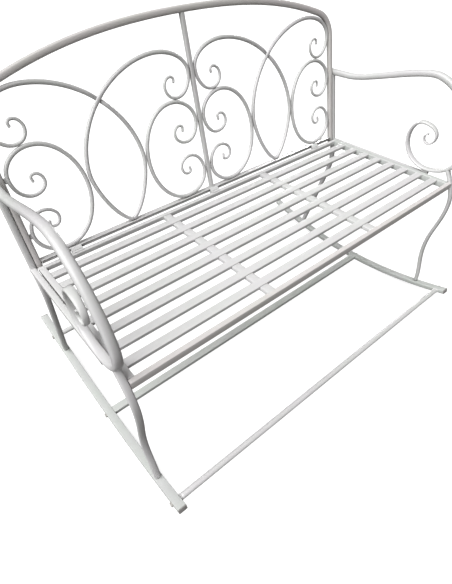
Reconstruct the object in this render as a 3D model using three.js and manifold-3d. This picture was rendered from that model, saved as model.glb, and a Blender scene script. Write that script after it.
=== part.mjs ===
import * as THREE from 'three';
import { mergeVertices } from 'three/addons/utils/BufferGeometryUtils.js';
import Module from 'manifold-3d';

const wasm = await Module();
wasm.setup();

// A two-seat rocking bench of bent and welded steel tube.
// It is drawn in a seat frame: x across the bench, y from the front edge to the rear, z up,
// with z = 0 on top of the slats. Right and left are as seen from the front, and right is +x.
// The last section turns that frame into the rest pose on the floor.

// Clearances, in millimetres
const weldGap = 0.3;
const cutOverrun = 5;

// Seat panel
const seatWidth = 1216;
const seatDepth = 485;
const railWidth = 13.5;
const railHeight = 20;
const rearRailHeight = 13;
const railCorner = 2;
const slatCount = 8;
const slatWidth = 23.5;
const slatHeight = 9.5;
const slatCorner = 1.5;
const frontSlatSetback = 42.5;
const rearSlatClearance = 42.4;
const crossBarWidth = 25;
const crossBarDrop = 0.7;
const crossBarWeb = 2.5;
const crossBarPlaceShare = 1 / 3;

// Back panel, on its own leaning plane: heights are measured up that plane from the seat
const backLean = 11.9;
const backSetback = 17;
const postDiameter = 17;
const postDrop = 12;
const backBendRadius = 79;
const archHeight = 495;
const archRise = 76.5;
const shoulderSlope = 18.5;
const archShoulderHandleShare = 0.3;
const archCrownHandleShare = 0.41;
const backRailDepth = 20;
const backRailHeight = 9;
const backRailTop = 7;
const backRailCorner = 1.5;
const centreBarWidth = 12;
const centreBarCorner = 1.5;
const spacerWidth = 32;
const spacerHeight = 9;
const spacerPlaceShare = 0.81;

// Scrollwork of the back: tapered rod, with short welded pads where it meets its neighbours
const rodDiameter = 10;
const rodTipShare = 0.65;
const scrollTaperShare = 0.25;
const loopTaperShare = 0.3;
const padGap = 3.5;
const scrollFootGap = 0.8;
const padLength = 14;
const padDepth = 6;
const lapShare = 1.7;

// Double-ended scroll: insets are from its outermost points, heights from its middle
const scrollWidth = 186.5;
const scrollCrownInset = 75;
const scrollSideHeight = 74;
const scrollUndersideInset = 45.5;
const scrollUndersideHeight = 20.5;
const scrollInnerInset = 82;
const scrollInnerHeight = 48.7;
const scrollEyeTopInset = 63.3;
const scrollEyeTopHeight = 70.3;
const scrollEyeSideInset = 52;
const scrollEyeSideHeight = 64;
const scrollTipInset = 59.5;
const scrollTipHeight = 48.8;
const scrollTipShare = 0.6;

// Long loop that ends in a hanging curl: insets are from the side of the bay, and the heights of
// the curl are from its underside, which hangs just clear of the scroll below it
const loopFootFullness = 1.48;
const loopFullness = 1.89;
const loopBulgeLift = 19.7;
const loopCrownInset = 109;
const loopCrownRise = 120.2;
const loopCrownDrop = 83;
const curlClearance = 7;
const curlSideGap = 1;
const curlUndersideInset = 58.2;
const curlSideRise = 59.8;
const curlInnerInset = 92.9;
const curlInnerRise = 32.2;
const curlEyeTopInset = 70.7;
const curlEyeTopRise = 56.1;
const curlEyeSideInset = 60.2;
const curlEyeSideRise = 47.7;
const curlTipInset = 67;
const curlTipRise = 37.5;

// Armrests: setbacks are from the front edge of the seat, heights from its top
const armWidth = 22;
const armThickness = 15;
const armRearOverhang = 7.5;
const armRearLength = 77;
const armDipHeight = 226;
const armCrownSetback = 165;
const armCrownHeight = 289;
const armRiseHandleShare = 0.24;
const armNoseSetback = -3;
const armNoseHeight = 103;
const armNoseFullness = 1.7;
const armHeelSetback = 104;
const armHeelHeight = 9;
const armRollSetback = 197;
const armRollHeight = 96;
const armRollTopSetback = 156;
const armRollTopHeight = 150;
const armCurlFrontSetback = 104;
const armCurlFrontHeight = 114;
const armCurlUndersideSetback = 129;
const armCurlUndersideHeight = 87;
const armEyeRearSetback = 145;
const armEyeRearHeight = 105;
const armEyeTopSetback = 131;
const armEyeTopHeight = 116;
const armEyeTopShare = 0.9;
const armStrapThicknessShare = 0.6;
const armCurlThicknessShare = 0.42;
const armTipShare = 0.5;
const armTipThicknessShare = 0.3;
const armNoseStretches = 3;
const armHeelStretches = 4;
const armCurlStretches = 7;
const heelBlockWidth = 14;
const heelBlockLength = 22;

// Side frames
const sideRailWidth = 19;
const sideRailHeight = 20;
const sideRailCorner = 5;
const sideRailDrop = 7;
const sideRailFrontSetback = 84;
const legWidth = 18;
const legThickness = 11;
const legTopSetback = 33;
const legTopHeight = 33;
const legTopSlope = 58;
const legTopHandle = 40;
const legKneeSetback = -12;
const legKneeHeight = -82;
const legCalfSetback = 13;
const legCalfHeight = -265;
const legFootSetback = -6;
const legHandleShare = 0.4;
const rearLegBendHeight = -32;
const rearLegBendLength = 110;
const rearLegFootReach = 90;

// Rockers, stretchers and bolts
const seatHeight = 470;
const rockerRadius = 1550;
const rockerFrontOverhang = 122;
const rockerRearOverhang = 273;
const rockerWidth = 25;
const rockerThickness = 15;
const rockerCorner = 2;
const rockerInset = 8.5;
const rockerFacets = 26;
const restRollFacets = -0.5;
const capThickness = 2.5;
const crossStretcherWidth = 25;
const crossStretcherHeight = 14;
const crossStretcherCorner = 2;
const crossStretcherLead = 37;
const rodStretcherDiameter = 17;
const collarDiameter = 23.5;
const collarLength = 3;
const frontRodInset = 29;
const rearRodInset = 94;
const boltDiameter = 6;
const boltHeadDiameter = 13.5;
const boltHeadHeight = 5;
const boltReach = 18;

// Steps along the bends and sides of the round stock
const rodSides = 6;
const tubeSides = 10;
const legSides = 8;
const boltSides = 10;
const longSteps = 7;
const bendSteps = 5;
const curlSteps = 4;
const eyeSteps = 3;

// Worked out from the sizes above
const half = 1 / 2;
const quarterTurn = Math.PI * half;
const seatSide = seatWidth * half;
const frameInner = seatSide + weldGap;
const rodRadius = rodDiameter * half;
const postRadius = postDiameter * half;
const postPlace = seatSide - postRadius;
const bayOuter = seatSide - postDiameter;
const bayInner = centreBarWidth * half;
const bayMiddle = (bayOuter + bayInner) * half;
const bayHalf = (bayOuter - bayInner) * half;
const bayReach = bayHalf - padGap - rodRadius;
const shoulderHeight = archHeight - archRise;
const loopCrownHeight = archHeight - loopCrownDrop;
const curlUndersideHeight = loopCrownHeight - loopCrownRise;
const scrollFootHeight = backRailTop + scrollFootGap + rodRadius;
const scrollHeight = curlUndersideHeight - curlClearance - scrollFootHeight;
const scrollMiddleHeight = scrollFootHeight + scrollHeight * half;
const loopBulgeHeight = scrollMiddleHeight + loopBulgeLift;
const loopBulge = bayReach - scrollWidth - rodDiameter - weldGap;
const backPlane = seatDepth + backSetback;
const slatPitch = (seatDepth - frontSlatSetback - rearSlatClearance - slatWidth) / (slatCount - 1);
const rearLegFootSetback = backPlane + rearLegFootReach;
const rockerChord = seatDepth + rockerFrontOverhang + rockerRearOverhang;
const rockerSetback = rockerChord * half - rockerFrontOverhang;
const frontRodSetback = frontRodInset - rockerFrontOverhang;
const crossStretcherSetback = rockerSetback - crossStretcherLead;
const rearRodSetback = seatDepth + rockerRearOverhang - rearRodInset;
const rockerPlace = frameInner - rockerInset + rockerWidth * half;
const rockerInner = rockerPlace - rockerWidth * half;
const rockerOuter = rockerPlace + rockerWidth * half;
const rockerCentreHeight = rockerThickness * half + rockerRadius - seatHeight;
const rockerAngle = Math.asin(rockerChord * half / rockerRadius);
const armPlace = frameInner + armWidth * half;
const restTilt = restRollFacets * 2 * rockerAngle / rockerFacets;

// Finishes
const paint = { color: 0xe4e2df, roughness: 0.45, metalness: 0.1 };
const boltFinish = { color: 0xd2d0cc, roughness: 0.4, metalness: 0.3 };

const bench = new THREE.Group();
const backPanel = new THREE.Group();
backPanel.position.set(0, backPlane, 0);
backPanel.rotation.x = THREE.MathUtils.degToRad(-backLean);
bench.add(backPanel);

function addPiece(name, geometry, parent = bench, finish = paint) {
  const piece = new THREE.Mesh(geometry, new THREE.MeshStandardMaterial(finish));
  piece.name = name;
  parent.add(piece);
}

// The same geometry on the left of the bench, with its faces still pointing out
function mirrored(geometry) {
  const copy = mergeVertices(geometry.clone());
  copy.scale(-1, 1, 1);
  const corners = copy.index.array;
  for (let i = 0; i < corners.length; i += 3) {
    const first = corners[i];
    corners[i] = corners[i + 1];
    corners[i + 1] = first;
  }
  return copy;
}

function addPair(name, geometry, parent = bench, finish = paint) {
  addPiece(`${name}_right`, geometry, parent, finish);
  addPiece(`${name}_left`, mirrored(geometry), parent, finish);
}

// Cutting and joining
function solidOf(geometry) {
  const bare = geometry.clone();
  bare.deleteAttribute('normal');
  bare.deleteAttribute('uv');
  const welded = mergeVertices(bare);
  return new wasm.Manifold(new wasm.Mesh({
    numProp: 3,
    vertProperties: new Float32Array(welded.attributes.position.array),
    triVerts: new Uint32Array(welded.index.array),
  }));
}

function geometryOf(solid) {
  const mesh = solid.getMesh();
  const geometry = new THREE.BufferGeometry();
  geometry.setAttribute('position', new THREE.BufferAttribute(new Float32Array(mesh.vertProperties), 3));
  geometry.setIndex(new THREE.BufferAttribute(new Uint32Array(mesh.triVerts), 1));
  return geometry;
}

function cut(geometry, ...tools) {
  let solid = solidOf(geometry);
  for (const tool of tools) solid = solid.subtract(solidOf(tool));
  return geometryOf(solid);
}

function join(geometry, ...others) {
  let solid = solidOf(geometry);
  for (const other of others) solid = solid.add(solidOf(other));
  return geometryOf(solid);
}

// Sections of bar and tube
function barSection(width, thickness, corner) {
  const x = width * half;
  const y = thickness * half;
  return new THREE.Shape([
    new THREE.Vector2(corner - x, -y),
    new THREE.Vector2(x - corner, -y),
    new THREE.Vector2(x, corner - y),
    new THREE.Vector2(x, y - corner),
    new THREE.Vector2(x - corner, y),
    new THREE.Vector2(corner - x, y),
    new THREE.Vector2(-x, y - corner),
    new THREE.Vector2(-x, corner - y),
  ]);
}

function ovalSection(width, thickness, sides) {
  const corners = [];
  for (let i = 0; i < sides; i += 1) {
    const turn = 2 * Math.PI * (i + half) / sides;
    corners.push(new THREE.Vector2(width * half * Math.cos(turn), thickness * half * Math.sin(turn)));
  }
  return new THREE.Shape(corners);
}

function block(width, depth, height, x, y, z) {
  const geometry = new THREE.BoxGeometry(width, depth, height);
  geometry.translate(x, y, z);
  return geometry;
}

// A straight bar along x, centred on the given place: the section lies across y and z
function crossBar(section, length, y, z) {
  const bar = new THREE.ExtrudeGeometry(section, { depth: length, bevelEnabled: false });
  bar.translate(0, 0, -length * half);
  bar.rotateX(quarterTurn);
  bar.rotateZ(quarterTurn);
  bar.translate(0, y, z);
  return bar;
}

// One stretch of a bend between two outermost points: a quarter of an ellipse when fullness is 2
class QuarterBend extends THREE.Curve {
  constructor(from, to, startsUpright, fullness, endShare) {
    super();
    this.from = from;
    this.to = to;
    this.startsUpright = startsUpright;
    this.fullness = fullness;
    this.endShare = endShare;
  }

  getPoint(share, target = new THREE.Vector2()) {
    const turn = share * this.endShare * quarterTurn;
    const leaving = Math.abs(Math.cos(turn)) ** (2 / this.fullness);
    const arriving = Math.abs(Math.sin(turn)) ** (2 / this.fullness);
    const { from, to } = this;
    if (this.startsUpright) {
      return target.set(to.x + (from.x - to.x) * leaving, from.y + (to.y - from.y) * arriving);
    }
    return target.set(from.x + (to.x - from.x) * arriving, to.y + (from.y - to.y) * leaving);
  }
}

function point(x, y) {
  return new THREE.Vector2(x, y);
}

function bend(from, to, startsUpright, steps, fullness = 2, endShare = 1) {
  return { steps, curve: new QuarterBend(from, to, startsUpright, fullness, endShare) };
}

function line(from, to) {
  return { steps: 1, curve: new THREE.LineCurve(from, to) };
}

// The rings of a bent bar: a place, the direction across the bend and the share of the length
function ringsAlong(stretches) {
  const rings = [];
  let travelled = 0;
  stretches.forEach(({ curve, steps }, index) => {
    for (let i = index === 0 ? 0 : 1; i <= steps; i += 1) {
      const place = curve.getPoint(i / steps);
      const ahead = curve.getTangent(i / steps);
      if (rings.length > 0) travelled += place.distanceTo(rings[rings.length - 1].place);
      rings.push({ place, side: point(-ahead.y, ahead.x), travelled });
    }
  });
  for (const ring of rings) ring.share = ring.travelled / travelled;
  return rings;
}

// A straight bar is drawn, thinned where the taper says, and bent along a flat curve in x and z
function bentBar(section, stretches, taper = () => ({ across: 1, through: 1 })) {
  const rings = ringsAlong(stretches);
  const steps = rings.length - 1;
  const bar = new THREE.ExtrudeGeometry(section, { depth: steps, steps, bevelEnabled: false });
  const spots = bar.attributes.position;
  for (let i = 0; i < spots.count; i += 1) {
    const ring = rings[Math.round(spots.getZ(i))];
    const { across, through } = taper(ring.share);
    const offset = spots.getY(i) * through;
    spots.setXYZ(
      i,
      ring.place.x + ring.side.x * offset,
      spots.getX(i) * across,
      ring.place.y + ring.side.y * offset,
    );
  }
  return bar;
}

// The same bar bent along a flat curve in y and z, and set across at x
function sideBar(section, stretches, x, taper) {
  const bar = bentBar(section, stretches, taper);
  bar.rotateZ(quarterTurn);
  bar.translate(x, 0, 0);
  return bar;
}

// The taper between stations, each with its share of the length
function taperThrough(stations) {
  return (share) => {
    const next = Math.max(1, stations.findIndex((station) => station.share >= share));
    const before = stations[next - 1];
    const after = stations[next];
    const part = (share - before.share) / (after.share - before.share);
    return {
      across: THREE.MathUtils.lerp(before.across, after.across, part),
      through: THREE.MathUtils.lerp(before.through, after.through, part),
    };
  };
}

function evenStation(share, size) {
  return { share, across: size, through: size };
}

// A pin along x whose inner end is at x = 0
function pin(diameter, length, sides = boltSides) {
  const radius = diameter * half;
  const geometry = new THREE.CylinderGeometry(radius, radius, length, sides);
  geometry.rotateZ(quarterTurn);
  geometry.translate(length * half, 0, 0);
  return geometry;
}

// Seat panel
function addSeatRails() {
  const section = barSection(railWidth, railHeight, railCorner);
  const rearSection = barSection(railWidth, rearRailHeight, railCorner);
  const height = -railHeight * half;
  const rearHeight = -rearRailHeight * half;
  const frontPlace = railWidth * half;
  addPiece('seat_front_rail', crossBar(section, seatWidth, frontPlace, height));
  addPiece('seat_rear_rail', crossBar(rearSection, seatWidth, seatDepth - frontPlace, rearHeight));
  const sideLength = seatDepth - 2 * (railWidth + weldGap);
  const side = crossBar(section, sideLength, 0, height);
  side.rotateZ(quarterTurn);
  side.translate(seatSide - railWidth * half, seatDepth * half, 0);
  addPair('seat_side_rail', side);
}

function slatPlace(index) {
  return frontSlatSetback + slatWidth * half + index * slatPitch;
}

function addSlats() {
  const section = barSection(slatWidth, slatHeight, slatCorner);
  const length = seatWidth - 2 * (railWidth + weldGap);
  for (let i = 0; i < slatCount; i += 1) {
    addPiece(`seat_slat_${i + 1}`, crossBar(section, length, slatPlace(i), -slatHeight * half));
  }
}

// Each cross bar fills the spaces between the slats and runs on below them as a thin web
function addCrossBars() {
  const length = seatDepth - 2 * (railWidth + weldGap);
  const base = -slatHeight - weldGap - crossBarWeb;
  const height = -crossBarDrop - base;
  const bar = block(crossBarWidth, length, height, 0, seatDepth * half, base + height * half);
  const notches = [];
  const notchFloor = base + crossBarWeb;
  const notchHeight = cutOverrun - notchFloor;
  for (let i = 0; i < slatCount; i += 1) {
    notches.push(block(
      crossBarWidth + cutOverrun,
      slatWidth + 2 * weldGap,
      notchHeight,
      0,
      slatPlace(i),
      notchFloor + notchHeight * half,
    ));
  }
  const comb = cut(bar, ...notches);
  comb.translate(seatSide * crossBarPlaceShare, 0, 0);
  addPair('seat_cross_bar', comb);
}

function addSpacers() {
  const length = backSetback - backRailDepth * half - 2 * weldGap;
  const tab = block(spacerWidth, length, spacerHeight, 0, seatDepth + weldGap + length * half, 0);
  addPiece('back_spacer_centre', tab);
  const side = tab.clone();
  side.translate(seatSide * spacerPlaceShare, 0, 0);
  addPair('back_spacer', side);
}

// Back panel
function archHalf() {
  const slope = THREE.MathUtils.degToRad(shoulderSlope);
  const start = point(
    postPlace - backBendRadius * (1 - Math.sin(slope)),
    shoulderHeight,
  );
  const bendCentre = point(postPlace - backBendRadius, shoulderHeight - backBendRadius * Math.cos(slope));
  const handle = start.x * archShoulderHandleShare;
  const crown = point(0, archHeight);
  return {
    foot: line(point(postPlace, -postDrop), point(postPlace, bendCentre.y)),
    corner: {
      steps: bendSteps,
      curve: new THREE.EllipseCurve(
        bendCentre.x, bendCentre.y, backBendRadius, backBendRadius, 0, quarterTurn - slope, false,
      ),
    },
    arch: {
      steps: longSteps,
      curve: new THREE.CubicBezierCurve(
        start,
        point(start.x - handle, start.y + handle * Math.tan(slope)),
        point(start.x * archCrownHandleShare, archHeight),
        crown,
      ),
    },
  };
}

// A curve run backwards on the other side of the panel's middle
class Reflection extends THREE.Curve {
  constructor(curve) {
    super();
    this.curve = curve;
  }

  getPoint(share, target = new THREE.Vector2()) {
    const place = this.curve.getPoint(1 - share);
    return target.set(-place.x, place.y);
  }
}

function reflected(stretch) {
  return { steps: stretch.steps, curve: new Reflection(stretch.curve) };
}

function addBackTube() {
  const { foot, corner, arch } = archHalf();
  const path = [foot, corner, arch, reflected(arch), reflected(corner), reflected(foot)];
  const tube = bentBar(ovalSection(postDiameter, postDiameter, tubeSides), path);
  addPiece('back_frame_tube', tube, backPanel);
}

function addBackBars() {
  const section = barSection(backRailDepth, backRailHeight, backRailCorner);
  const length = 2 * (bayOuter - weldGap);
  const rail = crossBar(section, length, 0, backRailTop - backRailHeight * half);
  addPiece('back_bottom_rail', rail, backPanel);
  const foot = backRailTop + weldGap;
  const height = archHeight - postRadius - weldGap - foot;
  const bar = new THREE.ExtrudeGeometry(
    barSection(centreBarWidth, centreBarWidth, centreBarCorner),
    { depth: height, bevelEnabled: false },
  );
  bar.translate(0, 0, foot);
  addPiece('back_centre_bar', bar, backPanel);
}

// Scrolls and loops are drawn about the middle of a bay, with +x towards its outer side
function scrollCurl(side) {
  const spot = (inset, height) => point(bayReach - inset, scrollMiddleHeight + side * height);
  return [
    spot(scrollWidth, 0),
    spot(scrollCrownInset, scrollHeight * half),
    spot(0, scrollSideHeight),
    spot(scrollUndersideInset, scrollUndersideHeight),
    spot(scrollInnerInset, scrollInnerHeight),
    spot(scrollEyeTopInset, scrollEyeTopHeight),
    spot(scrollEyeSideInset, scrollEyeSideHeight),
    spot(scrollTipInset, scrollTipHeight),
  ];
}

function curlPath(places, stepCounts, fullnesses = []) {
  return stepCounts.map((steps, index) => bend(
    places[index],
    places[index + 1],
    index % 2 === 0,
    steps,
    fullnesses[index],
    index === stepCounts.length - 1 ? scrollTipShare : 1,
  ));
}

function reversed(stretch) {
  const { curve, steps } = stretch;
  const back = new THREE.Curve();
  back.getPoint = (share, target = new THREE.Vector2()) => target.copy(curve.getPoint(1 - share));
  return { steps, curve: back };
}

function scrollBar() {
  const stepCounts = [longSteps, bendSteps, curlSteps, curlSteps, eyeSteps, eyeSteps, eyeSteps - 1];
  const upper = curlPath(scrollCurl(1), stepCounts);
  const lower = curlPath(scrollCurl(-1), stepCounts);
  const path = [...upper.reverse().map(reversed), ...lower];
  const taper = taperThrough([
    evenStation(0, rodTipShare),
    evenStation(scrollTaperShare, 1),
    evenStation(1 - scrollTaperShare, 1),
    evenStation(1, rodTipShare),
  ]);
  const bar = bentBar(ovalSection(rodDiameter, rodDiameter, rodSides), path, taper);
  return join(bar, ...scrollPads());
}

function scrollPads() {
  const sideWidth = padGap + rodRadius - weldGap;
  const sidePads = [1, -1].map((side) => block(
    sideWidth,
    padDepth,
    padLength,
    bayReach + sideWidth * half,
    0,
    scrollMiddleHeight + side * scrollSideHeight,
  ));
  const footHeight = scrollFootGap + rodRadius - weldGap;
  const footPad = block(
    padLength,
    padDepth,
    footHeight,
    bayReach - scrollCrownInset,
    0,
    backRailTop + weldGap + footHeight * half,
  );
  return [...sidePads, footPad];
}

function loopBar() {
  const spot = (inset, height) => point(bayHalf - inset, height);
  const foot = point(-weldGap, backRailTop + weldGap + rodRadius);
  const bulge = point(-loopBulge, loopBulgeHeight);
  const rise = bend(foot, bulge, false, longSteps, loopFootFullness);
  const places = [
    bulge,
    spot(loopCrownInset, loopCrownHeight),
    spot(curlSideGap + rodRadius, curlUndersideHeight + curlSideRise),
    spot(curlUndersideInset, curlUndersideHeight),
    spot(curlInnerInset, curlUndersideHeight + curlInnerRise),
    spot(curlEyeTopInset, curlUndersideHeight + curlEyeTopRise),
    spot(curlEyeSideInset, curlUndersideHeight + curlEyeSideRise),
    spot(curlTipInset, curlUndersideHeight + curlTipRise),
  ];
  const stepCounts = [2 * longSteps, bendSteps, curlSteps, curlSteps, eyeSteps, eyeSteps, eyeSteps - 1];
  const path = [rise, ...curlPath(places, stepCounts, [loopFullness])];
  const taper = taperThrough([
    evenStation(0, 1),
    evenStation(1 - loopTaperShare, 1),
    evenStation(1, rodTipShare),
  ]);
  const bar = bentBar(ovalSection(rodDiameter, rodDiameter, rodSides), path, taper);
  return cut(bar, lapTool());
}

// Half of the depth is taken away where two loops of one bay cross in the same plane
function lapTool() {
  const size = rodDiameter * lapShare;
  return block(size, size, size, 0, size * half - weldGap * half, loopCrossingHeight());
}

function loopCrossingHeight() {
  const reach = bayHalf - loopCrownInset;
  const share = reach / (reach + loopBulge);
  const rise = (1 - share ** loopFullness) ** (1 / loopFullness);
  return loopBulgeHeight + (loopCrownHeight - loopBulgeHeight) * rise;
}

function addBayPieces(name, geometry) {
  const turned = geometry.clone();
  turned.rotateZ(Math.PI);
  const places = [
    [`${name}_outer_right`, geometry, bayMiddle],
    [`${name}_inner_right`, turned, bayMiddle],
    [`${name}_inner_left`, geometry, -bayMiddle],
    [`${name}_outer_left`, turned, -bayMiddle],
  ];
  for (const [label, shape, x] of places) {
    const copy = shape.clone();
    copy.translate(x, 0, 0);
    addPiece(label, copy, backPanel);
  }
}

// Armrests and their scrolled fronts
function armPath() {
  const rear = point(postSetback(armDipHeight) + armRearOverhang, armDipHeight);
  const dip = point(rear.x - armRearLength, armDipHeight);
  const crown = point(armCrownSetback, armCrownHeight);
  const handle = (dip.x - crown.x) * armRiseHandleShare;
  const nose = point(armNoseSetback, armNoseHeight);
  const heel = point(armHeelSetback, armHeelHeight);
  const roll = point(armRollSetback, armRollHeight);
  const rollTop = point(armRollTopSetback, armRollTopHeight);
  const curlFront = point(armCurlFrontSetback, armCurlFrontHeight);
  const curlUnderside = point(armCurlUndersideSetback, armCurlUndersideHeight);
  const eyeRear = point(armEyeRearSetback, armEyeRearHeight);
  const eyeTop = point(armEyeTopSetback, armEyeTopHeight);
  return [
    line(rear, dip),
    {
      steps: longSteps,
      curve: new THREE.CubicBezierCurve(
        dip,
        point(dip.x - handle, dip.y),
        point(crown.x + handle, crown.y),
        crown,
      ),
    },
    bend(crown, nose, false, longSteps, armNoseFullness),
    bend(nose, heel, true, bendSteps),
    bend(heel, roll, false, bendSteps),
    bend(roll, rollTop, true, curlSteps),
    bend(rollTop, curlFront, false, curlSteps),
    bend(curlFront, curlUnderside, true, curlSteps),
    bend(curlUnderside, eyeRear, false, eyeSteps),
    bend(eyeRear, eyeTop, true, eyeSteps, 2, armEyeTopShare),
  ];
}

// The tube is full to the nose, is flattened into a strap from there on, and narrows in the eye
function armBar(clearance = 0) {
  const path = armPath();
  const rings = ringsAlong(path);
  const shareAfter = (count) => (
    rings[path.slice(0, count).reduce((total, stretch) => total + stretch.steps, 0)].share
  );
  const stations = [
    evenStation(0, 1),
    evenStation(shareAfter(armNoseStretches), 1),
    { share: shareAfter(armHeelStretches), across: 1, through: armStrapThicknessShare },
    { share: shareAfter(armCurlStretches), across: 1, through: armCurlThicknessShare },
    { share: 1, across: armTipShare, through: armTipThicknessShare },
  ];
  const section = ovalSection(armWidth + 2 * clearance, armThickness + 2 * clearance, tubeSides);
  return sideBar(section, path, armPlace, taperThrough(stations));
}

function addArms() {
  addPair('armrest', armBar());
  const strapUnderside = armHeelHeight - armThickness * armStrapThicknessShare * half - weldGap;
  const base = weldGap - sideRailDrop;
  const height = strapUnderside - base;
  addPair('armrest_heel_block', block(
    heelBlockWidth,
    heelBlockLength,
    height,
    armPlace,
    armHeelSetback,
    base + height * half,
  ));
}

// Below the seat the legs run inward to stand on the middle of the rocker
function leanedInward(geometry, drift) {
  const spots = geometry.attributes.position;
  for (let i = 0; i < spots.count; i += 1) {
    const share = THREE.MathUtils.clamp(-spots.getZ(i) / seatHeight, 0, 1);
    spots.setX(i, spots.getX(i) - drift * share);
  }
  return geometry;
}

function rockerLineHeight(setback) {
  return rockerCentreHeight - Math.sqrt(rockerRadius ** 2 - (setback - rockerSetback) ** 2);
}

function rockerStretch() {
  return {
    steps: rockerFacets,
    curve: new THREE.EllipseCurve(
      rockerSetback,
      rockerCentreHeight,
      rockerRadius,
      rockerRadius,
      -quarterTurn - rockerAngle,
      -quarterTurn + rockerAngle,
      false,
    ),
  };
}

function rockerBar(clearance = 0) {
  const section = barSection(rockerWidth + 2 * clearance, rockerThickness + 2 * clearance, rockerCorner);
  return sideBar(section, [rockerStretch()], rockerPlace);
}

function frontLegPath() {
  const slope = THREE.MathUtils.degToRad(legTopSlope);
  const top = point(legTopSetback, legTopHeight);
  const knee = point(legKneeSetback, legKneeHeight);
  const calf = point(legCalfSetback, legCalfHeight);
  const foot = point(legFootSetback, rockerLineHeight(legFootSetback));
  const kneeHandle = (legTopHeight - legKneeHeight) * legHandleShare;
  const shinHandle = (legKneeHeight - legCalfHeight) * legHandleShare;
  const footHandle = (legCalfHeight - foot.y) * legHandleShare;
  return [
    {
      steps: longSteps,
      curve: new THREE.CubicBezierCurve(
        top,
        point(top.x - legTopHandle * Math.cos(slope), top.y - legTopHandle * Math.sin(slope)),
        point(knee.x, knee.y + kneeHandle),
        knee,
      ),
    },
    {
      steps: longSteps,
      curve: new THREE.CubicBezierCurve(
        knee,
        point(knee.x, knee.y - shinHandle),
        point(calf.x, calf.y + shinHandle),
        calf,
      ),
    },
    {
      steps: bendSteps,
      curve: new THREE.CubicBezierCurve(
        calf,
        point(calf.x, calf.y - footHandle),
        point(foot.x, foot.y + footHandle),
        foot,
      ),
    },
  ];
}

function addFrontLegs() {
  const place = frameInner + legWidth * half;
  const leg = sideBar(ovalSection(legWidth, legThickness, legSides), frontLegPath(), place);
  leanedInward(leg, place - rockerPlace);
  addPair('front_leg', cut(leg, armBar(weldGap), rockerBar(weldGap)));
}

function postSetback(height) {
  return backPlane + height * Math.tan(THREE.MathUtils.degToRad(backLean));
}

function addRearLegs() {
  const bendTop = point(postSetback(rearLegBendHeight), rearLegBendHeight);
  const foot = point(rearLegFootSetback, rockerLineHeight(rearLegFootSetback));
  const corner = point(postSetback(rearLegBendHeight - rearLegBendLength * half),
    rearLegBendHeight - rearLegBendLength * half);
  const bendFoot = corner.clone().add(
    foot.clone().sub(corner).setLength(rearLegBendLength * half),
  );
  const path = [
    line(point(postSetback(armDipHeight), armDipHeight), bendTop),
    { steps: bendSteps, curve: new THREE.QuadraticBezierCurve(bendTop, corner, bendFoot) },
    line(bendFoot, foot),
  ];
  const place = frameInner + postRadius;
  const leg = sideBar(ovalSection(postDiameter, postDiameter, tubeSides), path, place);
  leanedInward(leg, place - rockerPlace);
  const topHeight = armDipHeight - armThickness * half - weldGap;
  const trim = block(armWidth * 2, armWidth * 2, armWidth, place, postSetback(topHeight),
    topHeight + armWidth * half);
  addPair('rear_leg_post', cut(leg, trim, rockerBar(weldGap)));
}

function addSideRails() {
  const lean = Math.cos(THREE.MathUtils.degToRad(backLean));
  const base = -sideRailDrop - sideRailHeight;
  const rearEnd = postSetback(base) - postRadius / lean - weldGap;
  const length = rearEnd - sideRailFrontSetback;
  const section = barSection(sideRailWidth, sideRailHeight, sideRailCorner);
  const rail = crossBar(section, length, 0, base + sideRailHeight * half);
  rail.rotateZ(quarterTurn);
  rail.translate(frameInner + sideRailWidth * half, sideRailFrontSetback + length * half, 0);
  addPair('side_rail', rail);
}

function addRockers() {
  const hole = pin(boltDiameter + 2 * weldGap, rockerWidth + 2 * cutOverrun);
  const holes = [frontRodSetback, crossStretcherSetback, rearRodSetback].map((setback) => {
    const tool = hole.clone();
    tool.translate(rockerInner - cutOverrun, setback, rockerLineHeight(setback));
    return tool;
  });
  addPair('rocker', cut(rockerBar(), ...holes));
}

// A cap closes each open end of the rocker tube
function addRockerCaps() {
  const ends = [['front', -1], ['rear', 1]];
  for (const [label, side] of ends) {
    const cap = new THREE.ExtrudeGeometry(
      barSection(rockerWidth, rockerThickness, rockerCorner),
      { depth: capThickness, bevelEnabled: false },
    );
    cap.translate(0, 0, weldGap);
    cap.rotateX(side * quarterTurn + Math.PI);
    cap.rotateX(side * rockerAngle);
    cap.translate(
      rockerPlace,
      rockerSetback + side * rockerRadius * Math.sin(rockerAngle),
      rockerCentreHeight - rockerRadius * Math.cos(rockerAngle),
    );
    addPair(`rocker_cap_${label}`, cap);
  }
}

function stretcherHoles(setback, height) {
  const depth = boltReach + weldGap;
  const tool = pin(boltDiameter + 2 * weldGap, depth + cutOverrun);
  tool.translate(rockerInner - weldGap - depth, setback, height);
  return [tool, mirrored(tool)];
}

function addStretchers() {
  const length = 2 * (rockerInner - weldGap);
  const middleHeight = rockerLineHeight(crossStretcherSetback);
  const section = barSection(crossStretcherWidth, crossStretcherHeight, crossStretcherCorner);
  const middle = crossBar(section, length, crossStretcherSetback, middleHeight);
  addPiece('stretcher_middle', cut(middle, ...stretcherHoles(crossStretcherSetback, middleHeight)));
  const rods = [['front', frontRodSetback], ['rear', rearRodSetback]];
  for (const [label, setback] of rods) {
    const height = rockerLineHeight(setback);
    const rod = crossBar(
      ovalSection(rodStretcherDiameter, rodStretcherDiameter, tubeSides), length, setback, height,
    );
    addPiece(`stretcher_${label}`, cut(rod, ...stretcherHoles(setback, height)));
    addCollars(label, setback, height);
  }
}

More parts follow.
